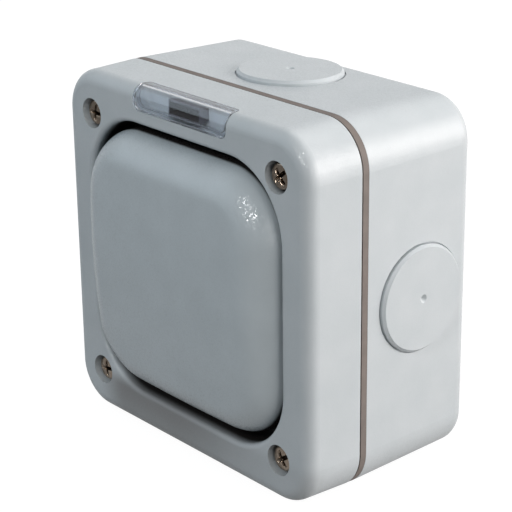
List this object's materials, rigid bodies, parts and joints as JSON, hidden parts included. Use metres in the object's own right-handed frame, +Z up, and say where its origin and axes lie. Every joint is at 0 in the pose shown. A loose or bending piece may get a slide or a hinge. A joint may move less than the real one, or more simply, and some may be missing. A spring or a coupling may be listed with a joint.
{
  "type": "outdoor weatherproof switch",
  "caption": "Square surface-mounted outdoor rocker switch: drafted wall box, sealed front cover with pillow rocker in a well, and a clear indicator window on its top front edge.",
  "frame": {"origin": "middle of the wall face, centred between the two wall fixing holes", "axes": "+X to the right seen from the front, +Y back into the wall, +Z up"},
  "size_m": [0.088, 0.0551, 0.088],
  "materials": {
    "housing_plastic": "fine spark-eroded moulded texture",
    "rocker_plastic": "fine spark-eroded moulded texture",
    "seal_rubber": "matt",
    "plated_steel": "plated",
    "brass": "plain",
    "clear_plastic": "clear polished",
    "holder_plastic": "moulded",
    "lamp_glass": "clear",
    "module_plastic": "moulded"
  },
  "bodies": {
    "enclosure": {"back_box": "housing_plastic", "lid_gasket": "seal_rubber", "front_cover": "housing_plastic", "cover_screws": "plated_steel", "screw_seals": "seal_rubber", "threaded_inserts": "brass", "indicator_lens": "clear_plastic", "indicator_holder": "holder_plastic", "indicator_lamp": "lamp_glass", "lever_boot": "seal_rubber", "dolly_pin": "plated_steel", "switch_frame": "module_plastic", "switch_base": "module_plastic", "common_terminal": "brass", "upper_terminal": "brass", "lower_terminal": "brass", "terminal_screws": "plated_steel", "module_screws": "plated_steel", "earth_terminal": "brass", "earth_screw": "plated_steel"},
    "rocker": {"rocker": "rocker_plastic"},
    "lever": {"dolly": "module_plastic", "plunger": "module_plastic", "plunger_spring": "plated_steel"},
    "contact": {"contact_arm": "brass"}
  },
  "joints": [
    {"name": "rocker_tilt", "type": "hinge", "parent": "enclosure", "child": "rocker", "pos_m": [0, -0.04515, 0], "axis": [1, 0, 0], "range_deg": [-3.6, 0]},
    {"name": "lever_tilt", "type": "hinge", "parent": "enclosure", "child": "lever", "pos_m": [0, -0.03065, 0], "axis": [1, 0, 0], "range_deg": [0, 5.9], "deforming": ["lever_boot"]},
    {"name": "contact_tilt", "type": "hinge", "parent": "enclosure", "child": "contact", "pos_m": [0, -0.0203, 0], "axis": [1, 0, 0], "range_deg": [-7.01, 0]}
  ],
  "couplings": [
    {"joint": "lever_tilt", "follows": "rocker_tilt", "ratio": -1.6368},
    {"joint": "contact_tilt", "follows": "rocker_tilt", "ratio": 1.9444}
  ]
}
